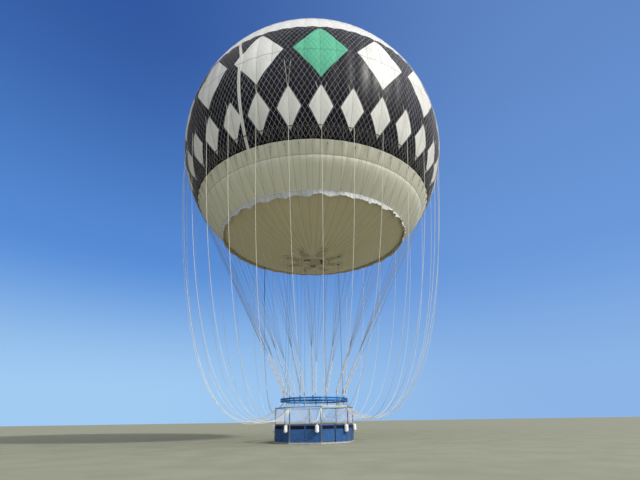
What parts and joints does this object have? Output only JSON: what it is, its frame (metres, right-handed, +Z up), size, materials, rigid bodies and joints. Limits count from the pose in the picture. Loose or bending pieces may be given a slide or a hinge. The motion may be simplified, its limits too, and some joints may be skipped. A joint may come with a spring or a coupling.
{
  "type": "tethered helium balloon",
  "caption": "Round helium balloon with suspension ropes, rain skirt and load ring that carries a ring-shaped passenger gondola round a central tether cable.",
  "frame": {"origin": "centre of the envelope's sphere, where the gas holds the balloon up; the gondola's base is 22.9 m below it", "axes": "+Z up along the tether, -Y towards the front, +X to the right seen from the front"},
  "size_m": [21.9618, 21.9618, 34.0739],
  "materials": {
    "envelope_white": "coated off-white envelope cloth, satin",
    "envelope_charcoal": "coated charcoal envelope cloth with net over it, satin",
    "envelope_cream": "coated cream envelope cloth, satin",
    "envelope_khaki": "coated envelope cloth, khaki in its own shade, satin",
    "skirt_cloth": "light grey rain skirt cloth, matte",
    "plate_cloth": "grey-brown laced port cloth, matte",
    "white_plastic": "white, slightly weathered",
    "dark_fitting": "near-black fittings",
    "rope": "off-white polyester rope, matte",
    "ring_blue": "blue paint, semi-gloss",
    "steel_rope": "galvanised wire rope",
    "steel": "galvanised steel",
    "frame_grey": "dark grey paint",
    "trim_grey": "light grey paint, worn",
    "deck_metal": "tread plate",
    "wall_blue": "blue paint, semi-gloss"
  },
  "bodies": {
    "root": {"envelope_crown": "envelope_white", "envelope_band": "envelope_charcoal", "envelope_lower": "envelope_cream", "envelope_underside": "envelope_khaki", "rain_skirt": "skirt_cloth", "crown_valve": "white_plastic", "port_plate": "plate_cloth", "fan_box": "white_plastic", "pressure_valve": "dark_fitting", "filling_neck": "dark_fitting", "load_ring": "ring_blue", "bridle": "steel_rope", "swivel_housing": "steel", "base_frame": "frame_grey", "base_trim": "trim_grey", "deck": "deck_metal", "well_wall": "wall_blue", "gondola_frame": "trim_grey", "suspension_sector_1": "rope", "suspension_sector_2": "rope", "suspension_sector_3": "rope", "suspension_sector_4": "rope", "suspension_sector_5": "rope", "suspension_sector_6": "rope", "suspension_sector_7": "rope", "suspension_sector_8": "rope", "wall_side_1": "wall_blue", "wall_side_2": "wall_blue", "wall_side_3": "wall_blue", "wall_side_4": "wall_blue", "wall_side_5": "wall_blue", "wall_side_6": "wall_blue", "wall_side_7": "wall_blue", "wall_side_8": "wall_blue", "fender_1": "white_plastic", "fender_2": "white_plastic", "fender_3": "white_plastic", "fender_4": "white_plastic", "fender_5": "white_plastic", "fender_6": "white_plastic", "fender_7": "white_plastic", "fender_8": "white_plastic"},
    "gate": {"boarding_gate": "wall_blue", "gate_latch": "steel"},
    "tether": {"swivel_eye": "steel", "tether_cable": "steel_rope"}
  },
  "joints": [
    {"name": "gate_hinge", "type": "hinge", "parent": "root", "child": "gate", "pos_m": [1.21036, -2.02968, -22.33], "axis": [0, 0, -1], "range_deg": [0, 95]},
    {"name": "tether_swivel", "type": "hinge", "parent": "root", "child": "tether", "pos_m": [0, 0, -22.45], "axis": [0, 0, 1], "continuous": true}
  ]
}
